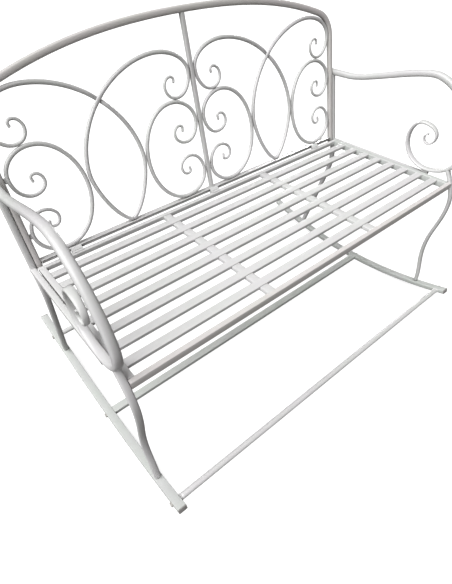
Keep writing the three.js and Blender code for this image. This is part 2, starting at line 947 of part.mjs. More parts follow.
function addCollars(label, setback, height) {
  const outer = pin(collarDiameter, collarLength, tubeSides);
  outer.translate(rockerInner - weldGap - collarLength, setback, height);
  const bore = pin(rodStretcherDiameter + 2 * weldGap, collarLength + 2 * cutOverrun, tubeSides);
  bore.translate(rockerInner - weldGap - collarLength - cutOverrun, setback, height);
  addPair(`stretcher_collar_${label}`, cut(outer, bore));
}

function addBolts() {
  const radius = boltDiameter * half;
  const headRadius = boltHeadDiameter * half;
  const shank = boltReach + rockerWidth + 2 * weldGap;
  const profile = [
    point(0, 0),
    point(radius, 0),
    point(radius, shank),
    point(headRadius, shank),
    point(headRadius, shank + boltHeadHeight),
    point(0, shank + boltHeadHeight),
  ];
  const places = [['front', frontRodSetback], ['middle', crossStretcherSetback], ['rear', rearRodSetback]];
  for (const [label, setback] of places) {
    const bolt = new THREE.LatheGeometry(profile, boltSides);
    bolt.rotateZ(-quarterTurn);
    bolt.translate(rockerOuter + weldGap - shank, setback, rockerLineHeight(setback));
    addPair(`rocker_bolt_${label}`, bolt, bench, boltFinish);
  }
}

addSeatRails();
addSlats();
addCrossBars();
addSpacers();
addBackTube();
addBackBars();
addBayPieces('back_scroll', scrollBar());
addBayPieces('back_loop', loopBar());
addArms();
addSideRails();
addFrontLegs();
addRearLegs();
addRockers();
addRockerCaps();
addStretchers();
addBolts();

// Rest pose: the bench has rolled forward on its rockers until it balances on one flat of each
bench.position.set(0, -rockerSetback, -rockerCentreHeight);
const rolled = new THREE.Group();
rolled.rotation.x = -restTilt;
rolled.add(bench);
const standing = new THREE.Group();
standing.add(rolled);
standing.updateMatrixWorld(true);
const bounds = new THREE.Box3().setFromObject(standing, true);
rolled.position.set(0, -(bounds.min.y + bounds.max.y) * half, -bounds.min.z);
standing.updateMatrixWorld(true);

export default standing;
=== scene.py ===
import math

import bpy
from mathutils import Matrix, Vector


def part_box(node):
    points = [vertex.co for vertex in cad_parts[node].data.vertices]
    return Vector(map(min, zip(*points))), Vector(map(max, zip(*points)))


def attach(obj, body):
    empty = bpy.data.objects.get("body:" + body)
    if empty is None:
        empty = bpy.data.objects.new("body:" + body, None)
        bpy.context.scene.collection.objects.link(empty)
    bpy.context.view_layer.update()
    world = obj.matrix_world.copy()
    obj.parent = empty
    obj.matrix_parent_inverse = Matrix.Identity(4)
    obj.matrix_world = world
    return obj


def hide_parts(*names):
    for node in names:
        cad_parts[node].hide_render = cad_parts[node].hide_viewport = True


# A two-seat rocking bench of bent and welded steel tube, painted off-white.
# Sizes are in millimetres, in the seat frame of the part: x across the bench, y from the front
# edge of the seat to the rear, z up from the top of the slats. Each piece is drawn there, and is
# then rolled with the bench into its rest pose on the floor, in metres.

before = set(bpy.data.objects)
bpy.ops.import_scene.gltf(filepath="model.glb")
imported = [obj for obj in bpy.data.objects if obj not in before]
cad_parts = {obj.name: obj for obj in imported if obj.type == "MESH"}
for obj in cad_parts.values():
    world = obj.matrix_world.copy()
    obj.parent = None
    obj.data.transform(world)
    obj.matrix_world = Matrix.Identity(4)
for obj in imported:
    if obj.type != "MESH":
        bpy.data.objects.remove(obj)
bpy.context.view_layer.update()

MM = 0.001
WELD_GAP = 0.3
SIDES = (("right", 1), ("left", -1))
REST_ROLL = math.radians(0.6343)
REST_PLACE = (0, -322.465, 466.451)

# Seat panel
SEAT_WIDTH = 1216
SEAT_DEPTH = 485
SEAT_SIDE = SEAT_WIDTH / 2
RAIL_WIDTH = 13.5
SEAT_END_WIDTH = 17
RAIL_HEIGHT = 20
REAR_RAIL_HEIGHT = 13
RAIL_CORNER = 1.4
SLAT_COUNT = 8
SLAT_WIDTH = 23.5
SLAT_HEIGHT = 9.5
SLAT_CORNER = 1
FRONT_SLAT_SETBACK = 42.5
SLAT_PITCH = 53.8
CROSS_BAR_WIDTH = 25
CROSS_BAR_DROP = 1.8
CROSS_BAR_WEB = 2.5
CROSS_BAR_CORNER = 0.9

# Back panel
BACK_LEAN = math.radians(11.9)
BACK_PLANE = 502
POST_DIAMETER = 17
POST_RADIUS = POST_DIAMETER / 2
POST_CORNER_SHARE = 0.3
POST_PLACE = SEAT_SIDE - POST_RADIUS
POST_DROP = 12
BACK_BEND_RADIUS = 79
ARCH_HEIGHT = 494.5
SHOULDER_HEIGHT = 418.5
SHOULDER_SLOPE = math.radians(18.5)
ARCH_HANDLES = (0.3, 0.41)
BACK_RAIL_DEPTH = 20
BACK_RAIL_HEIGHT = 9
BACK_RAIL_TOP = 7
BACK_RAIL_LIP = 2.2
BACK_RAIL_HOLLOW = 3.5
BACK_BAR_CORNER = 1.5
CENTRE_BAR_WIDTH = 12
SPACER_WIDTH = 32
SPACER_HEIGHT = 9
SPACER_CORNER = 1.2
SPACER_PLATE = 1.6
SPACER_PLATE_CORNER = 0.5
SPACER_LAP = 7
SPACER_STEP_SHARES = (-0.5, 0.3)
SPACER_RAISED_SHARE = 0.2
SPACER_PLACE = 0.81 * SEAT_SIDE

# Scrollwork
ROD_DIAMETER = 11.2
ROD_RADIUS = ROD_DIAMETER / 2
ROD_TIP_SHARE = 0.65
SCROLL_TAPER_SHARE = 0.25
LOOP_TAPER_SHARE = 0.3
PAD_GAP = 3.5
SCROLL_FOOT_GAP = 0.8
PAD_LENGTH = 14
PAD_DEPTH = 6
LAP_REACH = 9
LAP_THINNING_SHARE = 0.4
BAY_OUTER = SEAT_SIDE - POST_DIAMETER
BAY_INNER = CENTRE_BAR_WIDTH / 2
BAY_MIDDLE = (BAY_OUTER + BAY_INNER) / 2
BAY_HALF = (BAY_OUTER - BAY_INNER) / 2
BAY_REACH = BAY_HALF - PAD_GAP - ROD_RADIUS
SCROLL_MIDDLE = 148.8
SCROLL_WIDTH = 186.5
SCROLL_HALF_HEIGHT = 136
SCROLL_CROWN_INSET = 75
SCROLL_SIDE_HEIGHT = 74
SCROLL_CURL = ((45.5, 20.5), (82, 48.7), (63.3, 70.3), (52, 64), (59.5, 48.8))
LOOP_FOOT_FULLNESS = 1.48
LOOP_SIDE_FULLNESS = 1.89
LOOP_BULGE_HEIGHT = 168.5
LOOP_CROWN = (109, 412)
LOOP_POST_GAP = 1
LOOP_SIDE_HEIGHT = 351.6
LOOP_CURL = ((58.2, 291.8), (92.9, 324), (70.7, 347.9), (60.2, 339.5), (67, 329.3))
LOOP_CROSSING_FLOOR = 200
CURL_TURNS = 7
CURL_END_SHARE = 0.6

# Side frames
FRAME_INNER = SEAT_SIDE + WELD_GAP
ARM_WIDTH = 21.4
ARM_THICKNESS = 19
ARM_PLACE = FRAME_INNER + ARM_WIDTH / 2
ARM_DIP_HEIGHT = 226
ARM_DIP_RUN = 77
ARM_REAR_REACH = 7.5
ARM_CROWN = (165, 289)
ARM_NOSE = (-3, 103)
ARM_HEEL = (104, 9)
ARM_SCROLL = ((197, 96), (156, 150), (104, 114), (129, 87), (145, 105), (131, 116))
ARM_TURNS = 8
ARM_HANDLE_SHARE = 0.24
ARM_NOSE_FULLNESS = 1.7
ARM_END_SHARE = 0.9
ARM_HEEL_SHARE = 0.5
ARM_ROLL_SHARES = (0.97, 0.52)
ARM_CURL_SHARES = (0.66, 0.34)
ARM_TIP_SHARES = (0.5, 0.26)
ARM_CORNER_SHARE = 0.34
HEEL_BLOCK_LENGTH = 22
HEEL_BLOCK_WIDTH = 14
HEEL_BLOCK_CORNER = 1.5
HEEL_BLOCK_SINK = 1
SIDE_RAIL_WIDTH = 15.5
SIDE_RAIL_HEIGHT = 16
SIDE_RAIL_DROP = 7
SIDE_RAIL_GAP = 2.7
SIDE_RAIL_LIFT = 6
SIDE_RAIL_SET_IN = 12
SIDE_RAIL_CORNER = 3
SEAT_HEIGHT = 470
LEG_WIDTH = 18
LEG_THICKNESS = 11
LEG_CORNER_SHARE = 0.3
LEG_SINK = 2
LEG_TOP = (33, 33)
LEG_TOP_SLOPE = math.radians(58)
LEG_TOP_HANDLE = 40
LEG_KNEE = (-12, -82)
LEG_KNEE_HANDLES = (46, 73.2)
LEG_CALF = (13, -265)
LEG_CALF_HANDLES = (73.2, 64)
LEG_FOOT_SETBACK = -6
LEG_FOOT_HANDLE = 64
REAR_LEG_TOP_DROP = 4
REAR_LEG_BEND_HEIGHT = -32
REAR_LEG_CORNER_HEIGHT = -87
REAR_LEG_BEND_RUN = 55
REAR_LEG_SPREAD = 90
REAR_LEG_BEND_SHARE = 2 / 3

# Rockers, stretchers and bolts
ROCKER_RADIUS = 1550
ROCKER_CENTRE = (318, 1087.5)
ROCKER_REACH = math.asin(440 / ROCKER_RADIUS)
ROCKER_WIDTH = 25
ROCKER_THICKNESS = 15
ROCKER_CORNER = 2
ROCKER_FACETS = 26
ROCKER_PLACE = 612.3
PLUG_THICKNESS = 2.5
PLUG_RIM = 2
PLUG_DOME = 0.3
PLUG_CORNER = 0.5
STRETCHER_WIDTH = 25
STRETCHER_HEIGHT = 14
STRETCHER_CORNER = 2
ROD_STRETCHER_DIAMETER = 17
COLLAR_DIAMETER = 20.5
COLLAR_LENGTH = 4
STRETCHER_PLACES = {"front": -93, "middle": 281, "rear": 664}
BOLT_HEAD_WIDTH = 11.7
BOLT_HEAD_HEIGHT = 4
BOLT_CHAMFER_HEIGHT = 0.6
BOLT_CHAMFER_SHARE = 0.82
BOLT_DISH_RIM = 1.2
BOLT_DISH_DEPTH = 0.4
BOLT_CORNER = 0.35
BOLT_TWIST = 0.3
BOLT_TWIST_CYCLE = 7
WASHER_DIAMETER = 13.5
WASHER_HEIGHT = 1
WASHER_CORNER = 0.3

REST = Matrix.Translation(Vector(REST_PLACE) * MM) @ Matrix.Rotation(REST_ROLL, 4, "X")
PANEL = REST @ Matrix.Translation((0, BACK_PLANE * MM, 0)) @ Matrix.Rotation(-BACK_LEAN, 4, "X")
SIDEWAYS = Matrix.Rotation(math.pi / 2, 4, "Z")


# Flat curves, each a function from a share of its run to a point (along, up): a straight run, a
# sweep between handles, a round corner and a quarter turn, fuller than an ellipse or flatter
def straight(start, end):
    return lambda t: (start[0] + (end[0] - start[0]) * t, start[1] + (end[1] - start[1]) * t)


def swept(start, lift, land, end):
    def at(t):
        u = 1 - t
        return tuple(
            u ** 3 * a + 3 * u * u * t * b + 3 * u * t * t * c + t ** 3 * d
            for a, b, c, d in zip(start, lift, land, end)
        )
    return at


def round_corner(centre, radius, first, last):
    def at(t):
        angle = first + (last - first) * t
        return centre[0] + radius * math.cos(angle), centre[1] + radius * math.sin(angle)
    return at


def quarter(start, end, upright, fullness=2, share=1):
    def at(t):
        turn = t * share * math.pi / 2
        leaving = abs(math.cos(turn)) ** (2 / fullness)
        arriving = abs(math.sin(turn)) ** (2 / fullness)
        if upright:
            return end[0] + (start[0] - end[0]) * leaving, start[1] + (end[1] - start[1]) * arriving
        return start[0] + (end[0] - start[0]) * arriving, end[1] + (start[1] - end[1]) * leaving
    return at


def backwards(curve):
    return lambda t: curve(1 - t)


def reflected(curve):
    def at(t):
        along, up = curve(1 - t)
        return -along, up
    return at


def run_of(curve):
    return sum(math.dist(curve(i / 60), curve((i + 1) / 60)) for i in range(60))


# The places where a bar is held and turned while it is bent: (along, up, heading, share).
# A last short stretch at each end, the lip, keeps the end square when the bar is smoothed.
def bending_marks(curves, longest=14, sharpest=math.radians(10), lip=1.2):
    trail = []
    for number, curve in enumerate(curves):
        shares = [i / 120 for i in range(0 if not trail else 1, 121)]
        if number == 0:
            shares.append(lip / run_of(curve))
        if number == len(curves) - 1:
            shares.append(1 - lip / run_of(curve))
        trail += [curve(share) for share in sorted(shares)]
    lengths = [0]
    for a, b in zip(trail, trail[1:]):
        lengths.append(lengths[-1] + math.dist(a, b))
    headings = []
    for i in range(len(trail)):
        a = trail[max(i - 1, 0)]
        b = trail[min(i + 1, len(trail) - 1)]
        angle = math.atan2(b[0] - a[0], b[1] - a[1])
        if headings:
            while angle - headings[-1] > math.pi:
                angle -= 2 * math.pi
            while angle - headings[-1] < -math.pi:
                angle += 2 * math.pi
        headings.append(angle)
    total = lengths[-1]
    marks = [0]
    for i in range(1, len(trail) - 1):
        at_lip = any(abs(lengths[i] - edge) < lip / 10 for edge in (lip, total - lip))
        run = lengths[i] - lengths[marks[-1]]
        turn = abs(headings[i] - headings[marks[-1]])
        if at_lip or (run > lip and (run >= longest or turn >= sharpest)
                      and total - lengths[i] > 2 * lip):
            marks.append(i)
    marks.append(len(trail) - 1)
    return [(*trail[i], headings[i], lengths[i] / total) for i in marks]


# Modelling by hand: every piece starts as a primitive and is shaped with the operators
def put_down():
    if bpy.context.object and bpy.context.object.mode != "OBJECT":
        bpy.ops.object.mode_set(mode="OBJECT")
    bpy.ops.object.select_all(action="DESELECT")


def take_up(piece, *others):
    put_down()
    for each in (piece, *others):
        each.select_set(True)
    bpy.context.view_layer.objects.active = piece


def settle(piece):
    take_up(piece)
    bpy.ops.object.transform_apply(location=True, rotation=True, scale=True)


def modify(piece, kind, **settings):
    take_up(piece)
    modifier = piece.modifiers.new(kind.title(), kind)
    for name, value in settings.items():
        setattr(modifier, name, value)
    bpy.ops.object.modifier_apply(modifier=modifier.name)


def subdivided(piece):
    modify(piece, "SUBSURF", levels=1, render_levels=1)
    take_up(piece)
    bpy.ops.object.shade_smooth()
    return piece


def rounded_edges(piece, width):
    modify(piece, "BEVEL", width=width * MM, segments=2, limit_method="ANGLE",
           angle_limit=math.radians(40))
    take_up(piece)
    bpy.ops.object.shade_smooth_by_angle(angle=math.radians(50))
    return piece


def faces_outward(piece):
    take_up(piece)
    bpy.ops.object.mode_set(mode="EDIT")
    bpy.ops.mesh.select_all(action="SELECT")
    bpy.ops.mesh.remove_doubles(threshold=0.00001)
    bpy.ops.mesh.normals_make_consistent(inside=False)
    bpy.ops.object.mode_set(mode="OBJECT")


def copied(piece):
    take_up(piece)
    bpy.ops.object.duplicate(linked=False)
    return bpy.context.object


def joined(piece, *others):
    take_up(piece, *others)
    bpy.ops.object.join()
    return piece


def placed(piece, matrix):
    settle(piece)
    piece.matrix_world = matrix
    settle(piece)
    if matrix.to_3x3().determinant() < 0:
        faces_outward(piece)
    return piece


# A bar is drawn out from a flat section, mark by mark, and turned and thinned on the way. It lies
# in the flat of x and z: wide is its size across that flat, thick within it. With a corner share
# it is a square tube with rounded corners, and otherwise round, with that many sides. Smoothing
# draws a section in, so the fit makes it that much bigger first.
SQUARE_FIT = 1.02


def draw_bar(marks, wide, thick, gauge=None, sway=None, sides=12, corner=None):
    fit = SQUARE_FIT if corner else 3 / (2 + math.cos(2 * math.pi / sides))
    along, up, heading, share = marks[0]
    across, through = gauge(share) if gauge else (1, 1)
    offset = sway(share) if sway else 0
    put_down()
    place = {"location": (along * MM, offset * MM, up * MM), "rotation": (0, heading, 0)}
    if corner:
        bpy.ops.mesh.primitive_plane_add(size=1, **place)
        bpy.ops.object.mode_set(mode="EDIT")
        bpy.ops.mesh.select_all(action="SELECT")
        bpy.ops.mesh.bevel(offset=corner, segments=2, affect="VERTICES")
        bpy.ops.object.mode_set(mode="OBJECT")
    else:
        bpy.ops.mesh.primitive_circle_add(vertices=sides, radius=0.5, fill_type="NGON", **place)
    bar = bpy.context.object
    bar.scale = (thick * fit * through * MM, wide * fit * across * MM, 1)
    settle(bar)
    bpy.ops.object.mode_set(mode="EDIT")
    bpy.ops.mesh.select_mode(type="FACE")
    bpy.ops.mesh.select_all(action="SELECT")
    for next_along, next_up, next_heading, next_share in marks[1:]:
        next_across, next_through = gauge(next_share) if gauge else (1, 1)
        next_offset = sway(next_share) if sway else 0
        step = ((next_along - along) * MM, (next_offset - offset) * MM, (next_up - up) * MM)
        place = (next_along * MM, next_offset * MM, next_up * MM)
        bpy.ops.mesh.extrude_region_move(TRANSFORM_OT_translate={"value": step})
        if abs(next_heading - heading) > 1e-6:
            bpy.ops.transform.rotate(value=heading - next_heading, orient_axis="Y",
                                     center_override=place)
        thinner = next_through / through
        narrower = next_across / across
        if abs(thinner - 1) > 1e-6 or abs(narrower - 1) > 1e-6:
            bpy.ops.transform.resize(value=(thinner, narrower, thinner), center_override=place)
        along, up, heading = next_along, next_up, next_heading
        across, through, offset = next_across, next_through, next_offset
    bpy.ops.object.mode_set(mode="OBJECT")
    faces_outward(bar)
    return subdivided(bar)


# A bar's gauge: shares of its full size at stations along it, with an even taper between them
def graded(stations):
    def at(share):
        for (s0, *a), (s1, *b) in zip(stations, stations[1:]):
            if share <= s1:
                part = (share - s0) / (s1 - s0)
                return tuple(p + (q - p) * part for p, q in zip(a, b))
        return tuple(stations[-1][1:])
    return at


# A straight bar with its long edges rounded, along x, centred at a place
def straight_bar(length, depth, height, corner, place, segments=3):
    put_down()
    bpy.ops.mesh.primitive_cube_add(
        size=1, location=[v * MM for v in place], scale=(length * MM, depth * MM, height * MM),
    )
    bar = bpy.context.object
    settle(bar)
    bpy.ops.object.mode_set(mode="EDIT")
    bpy.ops.mesh.select_mode(type="EDGE")
    bpy.ops.mesh.select_all(action="DESELECT")
    bpy.ops.object.mode_set(mode="OBJECT")
    corners = bar.data.vertices
    for edge in bar.data.edges:
        a, b = (corners[v].co for v in edge.vertices)
        edge.select = abs(a.x - b.x) > length * MM / 2
    bpy.ops.object.mode_set(mode="EDIT")
    bpy.ops.mesh.bevel(offset=corner * MM, segments=segments, affect="EDGES")
    bpy.ops.object.mode_set(mode="OBJECT")
    take_up(bar)
    bpy.ops.object.shade_smooth_by_angle(angle=math.radians(35))
    return bar


# Gives a piece its name and finish, sets it on the root body and hides the node that it dresses
def finish_piece(piece, name, node, slot="painted_steel", finish=None):
    piece.name = name
    piece.data.name = name
    piece.data.materials.clear()
    piece.data.materials.append(finishes[finish or slot])
    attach(piece, "root")
    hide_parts(node)


# Finishes
class Wire:
    """One value in a finish. Python's own signs add, take away and scale it."""

    def __init__(self, finish, socket):
        self.finish = finish
        self.socket = socket

    def maths(self, operation, first, second):
        return self.finish.node("ShaderNodeMath", {"operation": operation}, {0: first, 1: second})

    def __add__(self, other):
        return self.maths("ADD", self, other)

    __radd__ = __add__

    def __mul__(self, other):
        return self.maths("MULTIPLY", self, other)

    __rmul__ = __mul__

    def __sub__(self, other):
        return self.maths("SUBTRACT", self, other)

    def __rsub__(self, other):
        return self.maths("SUBTRACT", other, self)


class Finish:
    """A material made node by node."""

    def __init__(self, name):
        self.material = bpy.data.materials.new(name)
        self.material.use_nodes = True
        self.tree = self.material.node_tree
        self.tree.nodes.clear()

    def node(self, kind, settings=None, sockets=None, output=0):
        made = self.tree.nodes.new(kind)
        for name, value in (settings or {}).items():
            setattr(made, name, value)
        for name, value in (sockets or {}).items():
            if isinstance(value, Wire):
                self.tree.links.new(value.socket, made.inputs[name])
            else:
                made.inputs[name].default_value = value
        return Wire(self, made.outputs[output])

    def noise(self, scale, detail=2, roughness=0.5):
        where = self.node("ShaderNodeTexCoord", output="Object")
        return self.node("ShaderNodeTexNoise", {}, {
            "Vector": where, "Scale": scale, "Detail": detail, "Roughness": roughness,
        })

    def between(self, value, low, high):
        return self.node("ShaderNodeMapRange", {"interpolation_type": "SMOOTHSTEP"}, {
            "Value": value, "From Min": low, "From Max": high,
        })

    def mottle(self, scale, detail, low, high):
        return self.between(self.noise(scale, detail, 0.6), low, high)

    def edges(self, low, high):
        sharpness = self.node("ShaderNodeNewGeometry", output="Pointiness")
        return self.between(sharpness, low, high)

    def bumps(self, height, strength, distance):
        return self.node("ShaderNodeBump", {}, {
            "Strength": strength, "Distance": distance, "Height": height,
        })

    def blend(self, share, first, second):
        return self.node("ShaderNodeMix", {"data_type": "RGBA"}, {
            0: share, 6: first, 7: second,
        }, output=2)

    def coat(self, sockets):
        surface = self.node("ShaderNodeBsdfPrincipled", {}, sockets)
        end = self.tree.nodes.new("ShaderNodeOutputMaterial")
        self.tree.links.new(surface.socket, end.inputs["Surface"])
        return self.material


# The bench's off-white paint, sprayed over steel: faint patches and clouds, fine specks, thinner
# on sharp edges, with painted shade in hollows and where two bars lie close
ROSE_WHITE = (0.565, 0.555, 0.565, 1)
GREEN_WHITE = (0.545, 0.555, 0.54, 1)
CLOUD_WHITE = (0.60, 0.60, 0.60, 1)
HOLLOW_SHADE_GREY = (0.37, 0.355, 0.34, 1)
THIN_PAINT = (0.66, 0.66, 0.655, 1)
SPECK_GREY = (0.42, 0.405, 0.38, 1)
PAINTED_CREVICE_SHADE = (0.10, 0.09, 0.08, 1)
CREVICE_REACH = 0.022


def satin_paint(name, tint):
    paint = Finish(name)
    patches = paint.mottle(scale=5, detail=3, low=0.35, high=0.68)
    clouds = paint.mottle(scale=28, detail=4, low=0.4, high=0.7)
    specks = paint.mottle(scale=520, detail=2, low=0.66, high=0.74)
    # Painted shade: the paint is darker in hollows, from pointiness
    hollows = 1 - paint.edges(low=0.40, high=0.49)
    colour = paint.blend(patches, ROSE_WHITE, GREEN_WHITE)
    colour = paint.blend(clouds * 0.3, colour, CLOUD_WHITE)
    colour = paint.blend(hollows * 0.5, colour, HOLLOW_SHADE_GREY)
    colour = paint.blend(paint.edges(low=0.53, high=0.62) * 0.3, colour, THIN_PAINT)
    colour = paint.blend(specks * 0.25, colour, SPECK_GREY)
    # Painted shade: the paint is darkened where another bar lies close, from ambient occlusion
    open_air = paint.node("ShaderNodeAmbientOcclusion", {"samples": 12}, {
        "Distance": CREVICE_REACH}, output="AO")
    closeness = 1 - paint.between(open_air, low=0.05, high=0.65)
    colour = paint.blend(closeness * 0.85, colour, PAINTED_CREVICE_SHADE)
    colour = paint.node("ShaderNodeMix", {"data_type": "RGBA", "blend_type": "MULTIPLY"}, {
        0: 1, 6: colour, 7: tint,
    }, output=2)
    peel = paint.noise(scale=420, roughness=0.45)
    runs = paint.noise(scale=38)
    grain = paint.noise(scale=1800, detail=1)
    height = peel * 0.55 + runs * 0.8 + grain * 0.12
    return paint.coat({
        "Base Color": colour, "Roughness": 0.36 + clouds * 0.1 + specks * 0.2,
        "Normal": paint.bumps(height, strength=0.35, distance=0.0006),
        "IOR": 1.48, "Coat Weight": 0.25, "Coat Roughness": 0.28,
    })


# Bolt heads: the same paint, thinner and greyer, rubbed to the metal on the edges
BOLT_GREY = (0.44, 0.43, 0.41, 1)
BOLT_DARK = (0.34, 0.33, 0.31, 1)
RUBBED_STEEL = (0.62, 0.61, 0.60, 1)


def bolt_paint():
    paint = Finish("bolt_paint")
    clouds = paint.mottle(scale=160, detail=3, low=0.4, high=0.65)
    rubbed = paint.edges(low=0.54, high=0.64)
    colour = paint.blend(clouds, BOLT_GREY, BOLT_DARK)
    return paint.coat({
        "Base Color": paint.blend(rubbed * 0.5, colour, RUBBED_STEEL),
        "Roughness": 0.34 + clouds * 0.15, "Metallic": rubbed * 0.35,
        "Normal": paint.bumps(paint.noise(scale=900), strength=0.3, distance=0.0004),
        "IOR": 1.48,
    })


# Plastic plugs in the ends of the rockers
PLUG_GREY = (0.29, 0.28, 0.275, 1)
PLUG_DARK = (0.25, 0.24, 0.235, 1)


def end_plug():
    plug = Finish("end_plug")
    clouds = plug.mottle(scale=90, detail=3, low=0.4, high=0.65)
    return plug.coat({
        "Base Color": plug.blend(clouds, PLUG_GREY, PLUG_DARK),
        "Roughness": 0.5 + clouds * 0.15,
        "Normal": plug.bumps(plug.noise(scale=700), strength=0.3, distance=0.0003),
        "IOR": 1.46,
    })


# Painted shade as tints: the back tube and the front rail are painted warmer, and the parts near
# the floor and the seat's right side rail are painted greener and darker
NO_TINT = (1, 1, 1, 1)
WARM_SHADE_TINT = (1, 0.965, 0.95, 1)
GREEN_SHADE_TINT = (0.87, 0.9, 0.875, 1)
finishes = {
    "painted_steel": satin_paint("satin_paint", NO_TINT),
    "shaded_paint": satin_paint("shaded_paint", WARM_SHADE_TINT),
    "lower_shaded_paint": satin_paint("lower_shaded_paint", GREEN_SHADE_TINT),
    "end_plug": end_plug(),
    "bolt_steel": bolt_paint(),
}


# Seat panel
def add_seat_rails():
    for name, setback, height, finish in (
            ("front", RAIL_WIDTH / 2, RAIL_HEIGHT, "shaded_paint"),
            ("rear", SEAT_DEPTH - RAIL_WIDTH / 2, REAR_RAIL_HEIGHT, "painted_steel")):
        rail = straight_bar(SEAT_WIDTH, RAIL_WIDTH, height, RAIL_CORNER, (0, setback, -height / 2))
        finish_piece(placed(rail, REST), f"seat_{name}_rail_bar", f"seat_{name}_rail",
                     finish=finish)
    length = SEAT_DEPTH - 2 * RAIL_WIDTH
    side = straight_bar(length, SEAT_END_WIDTH, RAIL_HEIGHT, RAIL_CORNER,
                        (0, 0, -RAIL_HEIGHT / 2))
    placed(side, Matrix.Translation((0, SEAT_DEPTH / 2 * MM, 0)) @ SIDEWAYS)
    # The right side rail is painted a greener, darker shade than the left
    for label, way in SIDES:
        rail = placed(copied(side), REST @ Matrix.Translation(
            (way * (SEAT_SIDE - SEAT_END_WIDTH / 2) * MM, 0, 0)))
        finish_piece(rail, f"seat_side_rail_bar_{label}", f"seat_side_rail_{label}",
                     finish="lower_shaded_paint" if label == "right" else None)
    bpy.data.objects.remove(side)


def slat_place(index):
    return FRONT_SLAT_SETBACK + SLAT_WIDTH / 2 + index * SLAT_PITCH


def add_slats():
    length = SEAT_WIDTH - 2 * SEAT_END_WIDTH
    slat = straight_bar(length, SLAT_WIDTH, SLAT_HEIGHT, SLAT_CORNER, (0, 0, -SLAT_HEIGHT / 2))
    for i in range(SLAT_COUNT):
        bar = placed(copied(slat), REST @ Matrix.Translation((0, slat_place(i) * MM, 0)))
        finish_piece(bar, f"seat_slat_bar_{i + 1}", f"seat_slat_{i + 1}")
    bpy.data.objects.remove(slat)


# A cross bar is a thin strip under the slats with a pad raised from it in each space between them
def add_cross_bars():
    length = SEAT_DEPTH - 2 * RAIL_WIDTH
    base = -SLAT_HEIGHT - WELD_GAP - CROSS_BAR_WEB
    strip_top = base + CROSS_BAR_WEB
    put_down()
    bpy.ops.mesh.primitive_cube_add(
        size=1, location=(0, SEAT_DEPTH / 2 * MM, (base + strip_top) / 2 * MM),
        scale=(CROSS_BAR_WIDTH * MM, length * MM, CROSS_BAR_WEB * MM),
    )
    strip = bpy.context.object
    settle(strip)
    bpy.ops.object.mode_set(mode="EDIT")
    for i in range(SLAT_COUNT):
        for way in (-1, 1):
            bpy.ops.mesh.select_all(action="SELECT")
            edge = slat_place(i) + way * (SLAT_WIDTH / 2 + WELD_GAP)
            bpy.ops.mesh.bisect(plane_co=(0, edge * MM, 0), plane_no=(0, 1, 0))
    bpy.ops.mesh.select_mode(type="FACE")
    bpy.ops.mesh.select_all(action="DESELECT")
    bpy.ops.object.mode_set(mode="OBJECT")
    for face in strip.data.polygons:
        under_slat = any(
            abs(face.center.y / MM - slat_place(i)) < SLAT_WIDTH / 2 for i in range(SLAT_COUNT))
        face.select = face.normal.z > 0.9 and not under_slat
    bpy.ops.object.mode_set(mode="EDIT")
    rise = -CROSS_BAR_DROP - strip_top
    bpy.ops.mesh.extrude_region_move(TRANSFORM_OT_translate={"value": (0, 0, rise * MM)})
    bpy.ops.object.mode_set(mode="OBJECT")
    rounded_edges(strip, CROSS_BAR_CORNER)
    for label, way in SIDES:
        bar = placed(copied(strip), REST @ Matrix.Translation((way * SEAT_SIDE / 3 * MM, 0, 0)))
        finish_piece(bar, f"seat_cross_bar_comb_{label}", f"seat_cross_bar_{label}")
    bpy.data.objects.remove(strip)


# Back panel
def add_back_tube():
    start = (POST_PLACE - BACK_BEND_RADIUS * (1 - math.sin(SHOULDER_SLOPE)), SHOULDER_HEIGHT)
    centre = (POST_PLACE - BACK_BEND_RADIUS,
              SHOULDER_HEIGHT - BACK_BEND_RADIUS * math.cos(SHOULDER_SLOPE))
    handle = start[0] * ARCH_HANDLES[0]
    foot = straight((POST_PLACE, -POST_DROP), (POST_PLACE, centre[1]))
    corner = round_corner(centre, BACK_BEND_RADIUS, 0, math.pi / 2 - SHOULDER_SLOPE)
    arch = swept(start, (start[0] - handle, start[1] + handle * math.tan(SHOULDER_SLOPE)),
                 (start[0] * ARCH_HANDLES[1], ARCH_HEIGHT), (0, ARCH_HEIGHT))
    marks = bending_marks([foot, corner, arch, reflected(arch), reflected(corner), reflected(foot)],
                          longest=20, sharpest=math.radians(7))
    tube = draw_bar(marks, POST_DIAMETER, POST_DIAMETER, corner=POST_CORNER_SHARE)
    finish_piece(placed(tube, PANEL), "back_arch_tube", "back_frame_tube", finish="shaded_paint")


# The back rail has a shallow channel in its front, towards the seat
def open_front(rail):
    take_up(rail)
    for face in rail.data.polygons:
        face.select = face.normal.y < -0.99
    bpy.ops.object.mode_set(mode="EDIT")
    bpy.ops.mesh.select_mode(type="FACE")
    bpy.ops.mesh.inset(thickness=BACK_RAIL_LIP * MM)
    bpy.ops.mesh.extrude_region_move(
        TRANSFORM_OT_translate={"value": (0, BACK_RAIL_HOLLOW * MM, 0)})
    bpy.ops.object.mode_set(mode="OBJECT")


def add_back_bars():
    rail = straight_bar(2 * BAY_OUTER, BACK_RAIL_DEPTH, BACK_RAIL_HEIGHT, BACK_BAR_CORNER,
                        (0, 0, BACK_RAIL_TOP - BACK_RAIL_HEIGHT / 2))
    open_front(rail)
    finish_piece(placed(rail, PANEL), "back_bottom_bar", "back_bottom_rail")
    top = ARCH_HEIGHT - POST_RADIUS
    upright = straight_bar(top - BACK_RAIL_TOP, CENTRE_BAR_WIDTH, CENTRE_BAR_WIDTH,
                           BACK_BAR_CORNER, (0, 0, 0))
    turned = Matrix.Translation((0, 0, (top + BACK_RAIL_TOP) / 2 * MM)) @ Matrix.Rotation(
        math.pi / 2, 4, "Y")
    finish_piece(placed(upright, PANEL @ turned), "back_middle_bar", "back_centre_bar")


